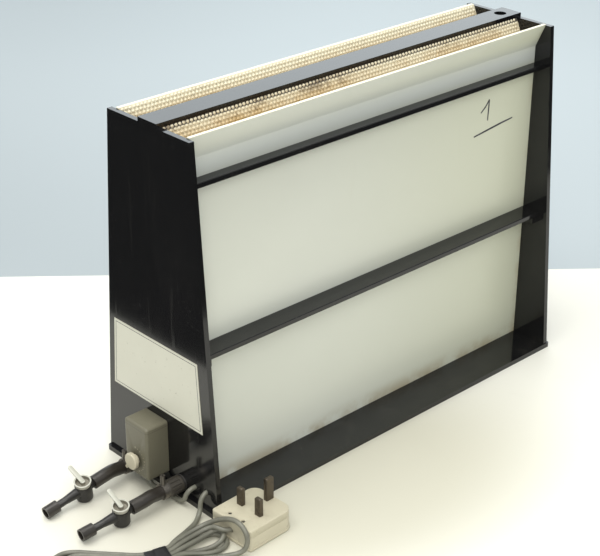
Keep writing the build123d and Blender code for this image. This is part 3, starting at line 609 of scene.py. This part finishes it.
def pip_tree():
    """Geometry Nodes that cover a flat panel with rows of small blunt pips."""
    tree = bpy.data.node_groups.new("slot_pips", "GeometryNodeTree")
    tree.is_modifier = True
    face = tree.interface
    face.new_socket("Geometry", in_out="INPUT", socket_type="NodeSocketGeometry")
    lengths = {
        "Length": 0.43, "Rise": 0.3, "Pitch": 0.004, "Foot": 0.0034, "Height": 0.0009, "Scatter": 0.0001,
    }
    for name, value in lengths.items():
        socket = face.new_socket(name, in_out="INPUT", socket_type="NodeSocketFloat")
        socket.default_value = value
    for name, kind in (("Place", "Vector"), ("Turn", "Vector"), ("Finish", "Material")):
        face.new_socket(name, in_out="INPUT", socket_type=f"NodeSocket{kind}")
    face.new_socket("Geometry", in_out="OUTPUT", socket_type="NodeSocketGeometry")
    nodes, links = tree.nodes, tree.links
    source = nodes.new("NodeGroupInput")
    sink = nodes.new("NodeGroupOutput")

    def add(kind, settings=None, inputs=None):
        node = nodes.new(kind)
        for name, value in (settings or {}).items():
            setattr(node, name, value)
        for key, value in (inputs or {}).items():
            if hasattr(value, "is_output"):
                links.new(value, node.inputs[key])
            else:
                node.inputs[key].default_value = value
        return node

    def maths(operation, first, second=0.0):
        return add("ShaderNodeMath", {"operation": operation}, {0: first, 1: second}).outputs[0]

    def vector(operation, inputs):
        return add("ShaderNodeVectorMath", {"operation": operation}, inputs).outputs[0]

    times = partial(maths, "MULTIPLY")
    given = source.outputs
    pitch = given["Pitch"]
    # Rows lie half a pitch times the root of 3 apart, and every other row is shifted by half a pitch
    row_step = times(pitch, 0.866)
    columns = maths("ADD", maths("FLOOR", maths("DIVIDE", given["Length"], pitch)), 1.0)
    rows = maths("ADD", maths("FLOOR", maths("DIVIDE", given["Rise"], row_step)), 1.0)
    width = times(maths("SUBTRACT", columns, 1.0), pitch)
    rise = times(maths("SUBTRACT", rows, 1.0), row_step)
    grid = add("GeometryNodeMeshGrid", None, {
        "Size X": width, "Size Y": rise, "Vertices X": columns, "Vertices Y": rows,
    })
    row = maths("MODULO", add("GeometryNodeInputIndex").outputs[0], rows)
    odd = maths("MODULO", row, 2.0)
    shift = times(maths("SUBTRACT", odd, 0.5), times(pitch, 0.5))
    sideways = add("ShaderNodeCombineXYZ", None, {0: shift}).outputs[0]
    jitter = add("FunctionNodeRandomValue", {"data_type": "FLOAT_VECTOR"}, {"Seed": 7}).outputs["Value"]
    scattered = vector("SCALE", {0: jitter, 3: given["Scatter"]})
    flat = vector("MULTIPLY", {0: vector("ADD", {0: sideways, 1: scattered}), 1: (1.0, 1.0, 0.0)})
    points = add("GeometryNodeSetPosition", None, {"Geometry": grid.outputs["Mesh"], "Offset": flat})
    # Each pip is a blunt cone with six sides, whose top is 0.36 of its foot
    foot = times(given["Foot"], 0.5)
    pip = add("GeometryNodeMeshCone", {"fill_type": "NGON"}, {
        "Vertices": 6, "Radius Top": times(foot, 0.36), "Radius Bottom": foot, "Depth": given["Height"],
    })
    many = add("GeometryNodeInstanceOnPoints", None, {
        "Points": points.outputs[0], "Instance": pip.outputs["Mesh"],
    })
    turned = add("GeometryNodeTransform", None, {
        "Geometry": many.outputs[0], "Translation": given["Place"], "Rotation": given["Turn"],
    })
    real = add("GeometryNodeRealizeInstances", None, {0: turned.outputs[0]})
    painted = add("GeometryNodeSetMaterial", None, {
        "Geometry": real.outputs[0], "Material": given["Finish"],
    })
    links.new(painted.outputs[0], sink.inputs[0])
    return tree


def pip_field(tree, material, along, rise, place, turn):
    """One flat field of pips, as a plain object."""
    obj = link("pip_field", bpy.data.meshes.new("pip_field"), material)
    modifier = obj.modifiers.new("pips", "NODES")
    modifier.node_group = tree
    values = {
        "Length": along, "Rise": rise, "Pitch": sizes().pip_pitch, "Foot": sizes().pip_width,
        "Height": sizes().pip_height, "Place": place, "Turn": turn, "Finish": finish(material),
    }
    for item in tree.interface.items_tree:
        if item.item_type == "SOCKET" and item.in_out == "INPUT" and item.name in values:
            modifier[item.identifier] = values[item.name]
    baked(obj)
    for face in obj.data.polygons:
        face.use_smooth = False
    return obj


def joined(objects, name, material):
    """Several objects at the origin as one."""
    shape = bmesh.new()
    for obj in objects:
        shape.from_mesh(obj.data)
    for face in shape.faces:
        face.material_index = 0
    mesh = bpy.data.meshes.new(name)
    shape.to_mesh(mesh)
    shape.free()
    for obj in objects:
        bpy.data.objects.remove(obj)
    return link(name, mesh, material, False)


# ----------------------------------------------------------------- operators


class PROCESSOR_OT_tank(bpy.types.Operator):
    """Finishes the panels, base, rails, cover and walls"""

    bl_idname = "processor.tank"
    bl_label = "Tank"

    def execute(self, context):
        flat = [
            "base_plate", "left_end_panel", "right_end_panel", "jacket_cover_strip", "rail_cleats",
            "front_top_rail", "rear_top_rail", "front_mid_rail", "rear_mid_rail", "heater_saddle",
        ]
        dress(flat, "black_acrylic")
        dress(["front_outer_wall", "rear_outer_wall", "front_inner_wall", "rear_inner_wall"], "clear_sheet")
        return {"FINISHED"}


class PROCESSOR_OT_pips(bpy.types.Operator):
    """Covers the slot faces of the four walls with pips, from 30 mm above the foot"""

    bl_idname = "processor.pips"
    bl_label = "Slot pips"

    # Plain strips at the ends, at the foot, under the bend and in the mouth, in metres
    END_MARGIN, BARE_FOOT, GAP_BELOW_BEND, GAP_IN_MOUTH = 0.003, 0.030, 0.004, 0.0032
    # How much of its height a pip is sunk
    SUNK_SHARE = 0.42

    def execute(self, context):
        tree = pip_tree()
        along = WALL_HIGH.x - WALL_LOW.x - 2 * self.END_MARGIN
        foot = WALL_LOW.z + self.BARE_FOOT
        sunk = sizes().pip_height * self.SUNK_SHARE
        # Slot face, how far it moves by the top, its top, the way that the pips point, and the finish
        faces = {
            "front_outer_wall": (-OUTER_FACE, -OUTER_SPREAD, WALL_TOP, 1.0, "front_pips"),
            "front_inner_wall": (-INNER_FACE, INNER_SPREAD, JACKET_TOP, -1.0, "front_pips"),
            "rear_inner_wall": (INNER_FACE, -INNER_SPREAD, JACKET_TOP, 1.0, "rear_pips"),
            "rear_outer_wall": (OUTER_FACE, OUTER_SPREAD, WALL_TOP, -1.0, "rear_pips"),
        }
        for node, (face_y, spread, top, away, material) in faces.items():
            rise = top - BEND
            upright = -away * math.pi / 2
            # The upright field and the one in the mouth: height, middle in Y and Z, and lean
            fields = (
                (BEND - foot - self.GAP_BELOW_BEND, face_y, (foot + BEND) / 2, 0.0),
                (
                    math.hypot(rise, spread) - self.GAP_IN_MOUTH, face_y + spread * 0.5, BEND + rise * 0.5,
                    math.atan2(spread, rise),
                ),
            )
            made = []
            for height, y, z, lean in fields:
                place, turn = (0.0, y + away * sunk, z), (upright - lean, 0.0, 0.0)
                made.append(pip_field(tree, material, along, height, place, turn))
            settle(joined(made, f"{node}_pips", material), BODY)
        return {"FINISHED"}


class PROCESSOR_OT_thermostat(bpy.types.Operator):
    """Finishes the heater box, its dial and what is inside"""

    bl_idname = "processor.thermostat"
    bl_label = "Thermostat"

    def execute(self, context):
        soften("thermostat_case", "olive_plastic", 0.0006)
        dress(["thermostat_block", "heater_gland", "gland_nut"], "dark_plastic")
        dress(["terminal_block"], "white_plastic")
        dress(["gland_washer", "lead_grommet"], "black_rubber")
        dress(["heater_tube", "probe_tube", "dial_shaft"], "nickel")
        soften("dial_knob", "cream_plastic", 0.0003, "dial")
        self.scale_marks()
        self.lid_seam()
        return {"FINISHED"}

    def scale_marks(self):
        """Printed dots round the dial, with a short stroke for every fifth."""
        shaft_low, shaft_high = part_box("dial_shaft")
        centre = Vector((CASE_LOW.x, (shaft_low.y + shaft_high.y) / 2, (shaft_low.z + shaft_high.z) / 2))
        radius = sizes().scale_radius
        marks, first_angle, angle_step = 11, 96, 17
        ink = Vector((0.00006, 0.0, 0.0))

        def build(shape):
            for step in range(marks):
                angle = math.radians(first_angle - step * angle_step)
                out = Vector((0.0, -math.cos(angle), math.sin(angle)))
                side = Vector((0.0, math.sin(angle), math.cos(angle)))
                reach, width = (0.0011, 0.00035) if step % 5 == 0 else (0.0003, 0.00028)
                near, far = radius - 0.0004, radius + reach
                corners = [
                    centre + out * along + side * across
                    for along, across in ((near, -width), (far, -width), (far, width), (near, width))
                ]
                strip(shape, [[shape.verts.new(p + lift) for p in corners] for lift in (-ink, ink)])

        scale = link("dial_scale", mesh_from("dial_scale", build), "cream_plastic", False)
        settle(scale, BODY)

    def lid_seam(self):
        """The joint of the case's lid, as a thin dark thread set into its front and sides."""
        # Depth below the top, how far it stands out, half its height, the corners' cut, the gap at the panel
        lid_depth, proud, half, corner, clear = 0.0045, 0.00004, 0.00010, 0.0014, 0.0002
        z = CASE_HIGH.z - lid_depth
        x0, x1, y0, y1 = CASE_LOW.x, PANEL_FACE_X, CASE_LOW.y, CASE_HIGH.y
        middle = Vector(((x0 + x1) / 2, (y0 + y1) / 2, 0.0))
        path = [
            (x1 - clear, y0), (x0 + corner, y0), (x0, y0 + corner),
            (x0, y1 - corner), (x0 + corner, y1), (x1 - clear, y1),
        ]

        def build(shape):
            rings = []
            for x, y in path:
                out = (Vector((x, y, 0.0)) - middle).normalized() * proud
                rings.append([
                    shape.verts.new((x + out.x * a, y + out.y * a, z + b * half))
                    for a, b in ((1, -1), (1, 1), (-3, 1), (-3, -1))
                ])
            strip(shape, rings)

        seam = link("case_lid_seam", mesh_from("case_lid_seam", build), "dark_plastic", False)
        settle(seam, BODY)


class PROCESSOR_OT_drains(bpy.types.Operator):
    """Finishes both drains from the panel to the taps' outlets"""

    bl_idname = "processor.drains"
    bl_label = "Drains"

    def execute(self, context):
        for side in ("front", "rear"):
            dress([f"{side}_drain_spigot"], "dark_plastic")
            dress([f"{side}_hose_collar"], "brown_plastic")
            dress([f"{side}_hose_clip", f"{side}_tap_clip"], "nickel")
            dress([f"{side}_drain_hose", f"{side}_outlet_sleeve"], "black_hose")
            dress([f"{side}_tap_seals"], "black_rubber")
            soften(f"{side}_tap_body", "black_tap", 0.0004)
            soften(f"{side}_tap_plug", f"{side}_tap_plastic", 0.00025, f"{side}_tap")
        return {"FINISHED"}


class PROCESSOR_OT_label(bpy.types.Operator):
    """Finishes the bare label plate and draws the pen mark on the front sheet"""

    bl_idname = "processor.label"
    bl_label = "Label and pen mark"

    def execute(self, context):
        dress(["label_plate"], "label_plate")
        # X and Z of the pen's strokes, in metres: a bare 1 and the line under it
        strokes = [
            [(0.1440, 0.2690), (0.1500, 0.2735), (0.1555, 0.2800)],
            [(0.1555, 0.2800), (0.1550, 0.2700), (0.1545, 0.2590)],
            [(0.1355, 0.2468), (0.1550, 0.2490), (0.1740, 0.2512), (0.1920, 0.2527)],
        ]
        half, ink, end_share = sizes().pen_width / 2, 0.00008, 0.75

        def build(shape):
            for points in strokes:
                rings = []
                for i, (x, z) in enumerate(points):
                    ahead = points[min(i + 1, len(points) - 1)]
                    behind = points[max(i - 1, 0)]
                    run = Vector((ahead[0] - behind[0], ahead[1] - behind[1])).normalized()
                    width = half * (end_share if i in (0, len(points) - 1) else 1.0)
                    nx, nz = -run.y * width, run.x * width
                    rings.append([
                        shape.verts.new((x + a * nx, SHEET_FACE_Y + b * ink, z + a * nz))
                        for a, b in ((-1, -1), (1, -1), (1, 1), (-1, 1))
                    ])
                strip(shape, rings)

        pen = link("pen_mark", mesh_from("pen_mark", build), "pen_mark", False)
        settle(pen, BODY)
        return {"FINISHED"}


# The flex, in millimetres: its way from the panel to the hank
RUN = [
    (-220.0, -61.5, 21.0), (-226.4, -61.5, 21.0), (-231.9, -61.9, 15.4), (-232.6, -62.4, 8.4),
    (-237.6, -65.2, 2.4), (-246.0, -70.6, 2.3), (-259.0, -74.6, 2.5), (-271.0, -77.8, 3.2),
    (-281.0, -81.2, 3.4),
]

# Where the tie holds the flex, and which way the tie points
TIE = Vector((-301.8, -90.7, 0.0))
TIE_ANGLE = math.radians(-18.0)
TIE_HALF = 11.0
TIE_OUT = Vector((math.cos(TIE_ANGLE), math.sin(TIE_ANGLE), 0.0))
TIE_UP = Vector((-math.sin(TIE_ANGLE), math.cos(TIE_ANGLE), 0.0))
LANES = {"outer": 6.6, "inner": 2.2, "low": 3.0, "high": 7.45}

# The turns of the left lobe: their centre, their radius, their height on the table or on each other,
# the angle where they start, in degrees, and how much narrower they are there
LEFT_TURNS = {"outer": (Vector((-360.0, -50.0)), 17.8), "inner": (Vector((-355.5, -53.8)), 13.0)}
LEFT_LEVELS = {"low": 2.5, "high": 7.0}
LEFT_START = 49.7
LEFT_NARROWING = 0.93


def lane(far, place, level, end):
    """A point of one strand at the tie's right (+1) or left (-1) end."""
    across = LANES[place] * (1 if far else -1)
    p = TIE + TIE_OUT * TIE_HALF * end + TIE_UP * across
    return (p.x, p.y, LANES[level])


def left_turn(place, level, from_far=True):
    """One turn of the left lobe, from the tie round its end and back to the tie."""
    (centre, reach), z = LEFT_TURNS[place], LEFT_LEVELS[level]
    start = math.radians(LEFT_START)
    side = Vector((math.cos(start), math.sin(start))) * reach * LEFT_NARROWING
    points = [lane(True, place, level, 1), lane(True, place, level, -1)]
    first, last = (Vector(lane(far, place, level, -1)[:2]) for far in (True, False))
    for share in (0.30, 0.68):
        p = first.lerp(centre + side, share)
        points.append((p.x, p.y, z + (LANES[level] - z) * (1 - share)))
    for step in range(5):
        angle = start + math.radians(10 + step * 40)
        points.append((centre.x + reach * math.cos(angle), centre.y + reach * math.sin(angle), z))
    for share in (0.32, 0.70):
        p = (centre - side).lerp(last, share)
        points.append((p.x, p.y, z + (LANES[level] - z) * share))
    points += [lane(False, place, level, -1), lane(False, place, level, 1)]
    return points if from_far else points[::-1]


# Turns of the right lobe, each from the near side round and back on the far side
OUTER_TURN = [
    (-287.0, -101.5, 2.8), (-277.0, -108.0, 2.4), (-264.0, -117.2, 2.4), (-251.0, -125.4, 2.6),
    (-243.0, -130.2, 4.4), (-239.6, -132.2, 11.0), (-238.8, -131.2, 19.4), (-238.6, -125.4, 25.4),
    (-238.6, -116.0, 26.9), (-238.8, -104.0, 22.4), (-240.2, -93.4, 16.0), (-246.5, -85.6, 10.8),
    (-256.0, -82.9, 7.9), (-267.0, -82.8, 7.0), (-278.0, -84.0, 7.4),
]
MIDDLE_TURN = [
    (-283.0, -99.4, 6.4), (-274.0, -104.6, 4.4), (-265.0, -110.4, 2.9), (-256.0, -113.4, 2.4),
    (-247.5, -113.0, 2.4), (-241.4, -108.6, 2.6), (-239.0, -101.4, 2.8), (-241.8, -93.6, 2.8),
    (-249.0, -89.6, 2.5), (-259.0, -88.8, 2.4), (-270.0, -89.4, 2.5), (-281.0, -90.6, 2.8),
]
INNER_TURN = [
    (-283.5, -96.2, 2.7), (-274.0, -99.4, 2.4), (-265.0, -103.0, 2.4), (-257.0, -105.8, 2.6),
    (-249.6, -107.0, 4.0), (-243.7, -106.2, 6.4), (-240.0, -102.4, 7.5), (-240.0, -97.2, 7.6),
    (-243.8, -93.9, 7.3), (-251.0, -93.5, 6.6), (-261.0, -93.4, 6.0), (-272.0, -93.8, 6.4),
    (-282.0, -95.0, 7.2),
]

# From the hank into the plug
TAIL = [
    (-280.0, -89.6, 7.4), (-269.0, -88.0, 7.1), (-258.0, -88.0, 7.4), (-249.0, -89.2, 8.8),
    (-243.8, -93.6, 11.4), (-243.2, -100.4, 12.2), (-239.6, -105.2, 11.3), (-233.5, -106.5, 10.7),
    (-229.0, -106.4, 10.6),
]


def flex_points():
    """The whole free flex, from the panel through the hank to the plug."""
    route = [
        *RUN, *left_turn("outer", "low"),
        *OUTER_TURN, *left_turn("outer", "high"),
        *MIDDLE_TURN, *left_turn("inner", "low"),
        *INNER_TURN, *left_turn("inner", "high", from_far=False),
        *TAIL,
    ]
    return [tuple(c * MM for c in p) for p in route]


class PROCESSOR_OT_flex(bpy.types.Operator):
    """Lays the free flex, its hank and its tie"""

    bl_idname = "processor.flex"
    bl_label = "Flex"

    def execute(self, context):
        dress(["heater_lead"], "pale_flex")
        width = sizes().flex_width
        curve = bpy.data.curves.new("mains_flex", "CURVE")
        curve.dimensions = "3D"
        curve.resolution_u = 6
        curve.bevel_depth = width / 2
        curve.bevel_resolution = 4
        curve.use_fill_caps = True
        spline = curve.splines.new("NURBS")
        points = flex_points()
        spline.points.add(len(points) - 1)
        for point, place in zip(spline.points, points):
            point.co = (*place, 1.0)
        spline.order_u = 3
        spline.use_endpoint_u = True
        curve.materials.append(finish("pale_flex"))
        flex = bpy.data.objects.new("mains_flex", curve)
        context.scene.collection.objects.link(flex)
        settle(flex, BODY, ["flex_run", "flex_loop", "flex_hank", "flex_tail"])
        held = [self.tie(), NODES["plug_fuse"], *(bpy.data.objects[name] for name in PLUG_PIECES)]
        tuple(points[0])
        spline_length(flex)
        return {"FINISHED"}

    def tie(self):
        """Two turns of a flat band round the strands, in millimetres."""
        half_width, top, foot, thick = 9.3, 9.9, 0.35, 0.55
        middle, half_height = (top + foot) / 2, (top - foot) / 2
        sides, lowest, soft = 40, 0.02, 0.5
        # Where each turn begins and ends, how far it stands out, and where its bulges are
        turns = ((-9.8, 1.2, 0.0, 0.0), (-1.6, 9.8, 0.35, 1.3))

        def outline(grow, wave):
            """A rounded oblong that bulges over the strands."""
            for i in range(sides):
                angle = 2 * math.pi * i / sides
                c, s = math.cos(angle), math.sin(angle)
                across = math.copysign(abs(c) ** 0.45, c) * (half_width + grow)
                up = math.copysign(abs(s) ** 0.55, s) * (half_height + grow)
                bulge = 0.25 * math.cos(4 * angle + wave)
                yield across + bulge * 0.4, middle + up + (bulge if up > 0 else 0.0)

        def ring(shape, along, grow, wave):
            corners = []
            for across, up in outline(grow, wave + along * 0.15):
                p = TIE + TIE_OUT * along + TIE_UP * across
                corners.append(shape.verts.new((p.x * MM, p.y * MM, max(up, lowest) * MM)))
            return corners

        def build(shape):
            for x0, x1, grow, wave in turns:
                stations = [x0, x0 + soft, (x0 + x1) / 2, x1 - soft, x1]
                lifts = [-0.12, 0.0, 0.10, 0.0, -0.12]
                outer, inner = (
                    [ring(shape, x, grow + extra + lift, wave) for x, lift in zip(stations, lifts)]
                    for extra in (thick, 0.0)
                )
                for rings in (outer, inner, (outer[0], inner[0]), (outer[-1], inner[-1])):
                    strip(shape, rings, capped=False)

        tie = link("tie_band", mesh_from("tie_band", build), "black_tape")
        return settle(tie, BODY, ["hank_tie"])


def spline_length(obj):
    """The length of the curve's own line."""
    bare = obj.data.copy()
    bare.bevel_depth = 0.0
    probe = bpy.data.objects.new("probe", bare)
    bpy.context.scene.collection.objects.link(probe)
    graph = bpy.context.evaluated_depsgraph_get()
    mesh = bpy.data.meshes.new_from_object(probe.evaluated_get(graph), depsgraph=graph)
    ends = ([mesh.vertices[i].co for i in edge.vertices] for edge in mesh.edges)
    total = sum((a - b).length for a, b in ends)
    bpy.data.objects.remove(probe)
    bpy.data.curves.remove(bare)
    bpy.data.meshes.remove(mesh)
    return round(total, 3)


PLUG_PIECES = ["eased_plug_base", "eased_plug_cover", "eased_line_pins", "eased_earth_pin", "plug_screws"]


class PROCESSOR_OT_plug(bpy.types.Operator):
    """Finishes the plug"""

    bl_idname = "processor.plug"
    bl_label = "Plug"

    def execute(self, context):
        soften("plug_base", "cream_plastic", 0.0004)
        soften("plug_cover", "cream_plastic", 0.0005)
        soften("line_pins", "tarnished_brass", 0.0003)
        soften("earth_pin", "tarnished_brass", 0.0003)
        dress(["plug_screws"], "dark_plastic")
        dress(["plug_fuse"], "white_plastic")
        return {"FINISHED"}


class PROCESSOR_OT_stage(bpy.types.Operator):
    """Sets the table, lights and camera"""

    bl_idname = "processor.stage"
    bl_label = "Stage"

    def execute(self, context):
        # The table's far left and near parts are kept out of reflections, as the room was dark there
        left, near, far = -0.385, -0.45, 6.0
        parts = {
            "stage_table": (left, far, near, far), "stage_table_left": (-far, left, -far, far),
            "stage_table_near": (left, far, -far, near),
        }
        for name, (x0, x1, y0, y1) in parts.items():
            def table(shape):
                places = ((x0, y0), (x1, y0), (x1, y1), (x0, y1))
                shape.faces.new([shape.verts.new((x, y, 0.0)) for x, y in places])

            floor = link(name, mesh_from(name, table), "table_top")
            floor.visible_glossy = name == "stage_table"
            floor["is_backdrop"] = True
        self.lights(context)
        self.camera(context)
        return {"FINISHED"}

    def lights(self, context):
        """A studio that is pale above the table's level and dark below it, and three soft lamps."""
        world = bpy.data.worlds.new("studio")
        world.use_nodes = True
        tree = world.node_tree
        where = tree.nodes.new("ShaderNodeTexCoord")
        split = tree.nodes.new("ShaderNodeSeparateXYZ")
        ramp = tree.nodes.new("ShaderNodeMapRange")
        blend = tree.nodes.new("ShaderNodeMix")
        blend.data_type = "RGBA"
        for name, value in (("From Min", -0.10), ("From Max", 0.02)):
            ramp.inputs[name].default_value = value
        blend.inputs[6].default_value = (0.045, 0.048, 0.048, 1.0)
        blend.inputs[7].default_value = (0.94, 0.97, 0.97, 1.0)
        tree.links.new(where.outputs["Generated"], split.inputs[0])
        tree.links.new(split.outputs["Z"], ramp.inputs["Value"])
        tree.links.new(ramp.outputs[0], blend.inputs[0])
        background = tree.nodes["Background"]
        tree.links.new(blend.outputs[2], background.inputs["Color"])
        background.inputs["Strength"].default_value = 0.75
        context.scene.world = world
        context.scene.view_settings.view_transform = "Standard"
        # Place, target, size, power and tint. The lamp behind is what the strip and the top edges mirror
        lamps = {
            "window": ((-1.3, -1.7, 1.9), (0.0, 0.0, 0.15), 1.5, 1.5, 38.0, (1.0, 0.98, 0.92)),
            "behind": ((1.40, 1.47, 1.03), (0.0, 0.0, 0.343), 1.6, 0.6, 4.7, (0.86, 0.95, 1.0)),
            "overhead": ((-0.5, 0.2, 2.2), (-0.1, 0.0, 0.1), 1.8, 1.8, 42.0, (1.0, 0.985, 0.95)),
        }
        for name, (place, target, wide, high, power, tint) in lamps.items():
            lamp = bpy.data.lights.new(name, "AREA")
            lamp.shape = "RECTANGLE"
            lamp.size, lamp.size_y, lamp.energy, lamp.color = wide, high, power, tint
            obj = bpy.data.objects.new(name, lamp)
            obj.location = place
            obj.rotation_euler = (Vector(target) - Vector(place)).to_track_quat("-Z", "Y").to_euler()
            context.scene.collection.objects.link(obj)

    def camera(self, context):
        """The photograph's own view, fitted to the tank's corners and edges."""
        azimuth, elevation, roll = (math.radians(a) for a in (-43.153, 26.736, 0.239))
        ahead = Vector((-math.sin(azimuth), math.cos(azimuth), 0.0))
        forward = ahead * math.cos(elevation) - Vector((0.0, 0.0, math.sin(elevation)))
        level = Vector((math.cos(azimuth), math.sin(azimuth), 0.0))
        upright = level.cross(forward)
        right = level * math.cos(roll) + upright * math.sin(roll)
        up = upright * math.cos(roll) - level * math.sin(roll)
        lens = bpy.data.cameras.new("photograph")
        lens.sensor_fit = "HORIZONTAL"
        lens.sensor_width, lens.lens = 36.0, 89.664
        lens.clip_start, lens.clip_end = 0.05, 50.0
        view = bpy.data.objects.new("photograph", lens)
        turn = Matrix((right, up, -forward)).transposed()
        view.matrix_world = Matrix.Translation((-0.89927, -0.89830, 0.76862)) @ turn.to_4x4()
        context.scene.collection.objects.link(view)
        context.scene.camera = view


class PROCESSOR_PT_panel(bpy.types.Panel):
    """Lists the sizes, the colours and the steps"""

    bl_label = "Print processor"
    bl_idname = "PROCESSOR_PT_panel"
    bl_space_type = "VIEW_3D"
    bl_region_type = "UI"
    bl_category = "Processor"

    def draw(self, context):
        for group in (context.scene.processor_sizes, context.scene.processor_colours):
            for name in group.__annotations__:
                self.layout.prop(group, name)
        for operator in OPERATORS:
            self.layout.operator(operator.bl_idname)


OPERATORS = (
    PROCESSOR_OT_tank, PROCESSOR_OT_pips, PROCESSOR_OT_thermostat, PROCESSOR_OT_drains, PROCESSOR_OT_label,
    PROCESSOR_OT_plug, PROCESSOR_OT_flex, PROCESSOR_OT_stage,
)
CLASSES = (ProcessorSizes, ProcessorColours, *OPERATORS, PROCESSOR_PT_panel)


def register():
    for cls in CLASSES:
        bpy.utils.register_class(cls)
    bpy.types.Scene.processor_sizes = bpy.props.PointerProperty(type=ProcessorSizes)
    bpy.types.Scene.processor_colours = bpy.props.PointerProperty(type=ProcessorColours)


def unregister():
    del bpy.types.Scene.processor_colours
    del bpy.types.Scene.processor_sizes
    for cls in reversed(CLASSES):
        bpy.utils.unregister_class(cls)


def corners(box):
    return [list(corner) for corner in box]


def main():
    measured = {"cad": corners(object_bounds())}
    register()
    for operator in OPERATORS:
        group, name = operator.bl_idname.split(".")
        getattr(getattr(bpy.ops, group), name)()
    measured["visual"] = corners(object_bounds())


if __name__ == "__main__":
    main()
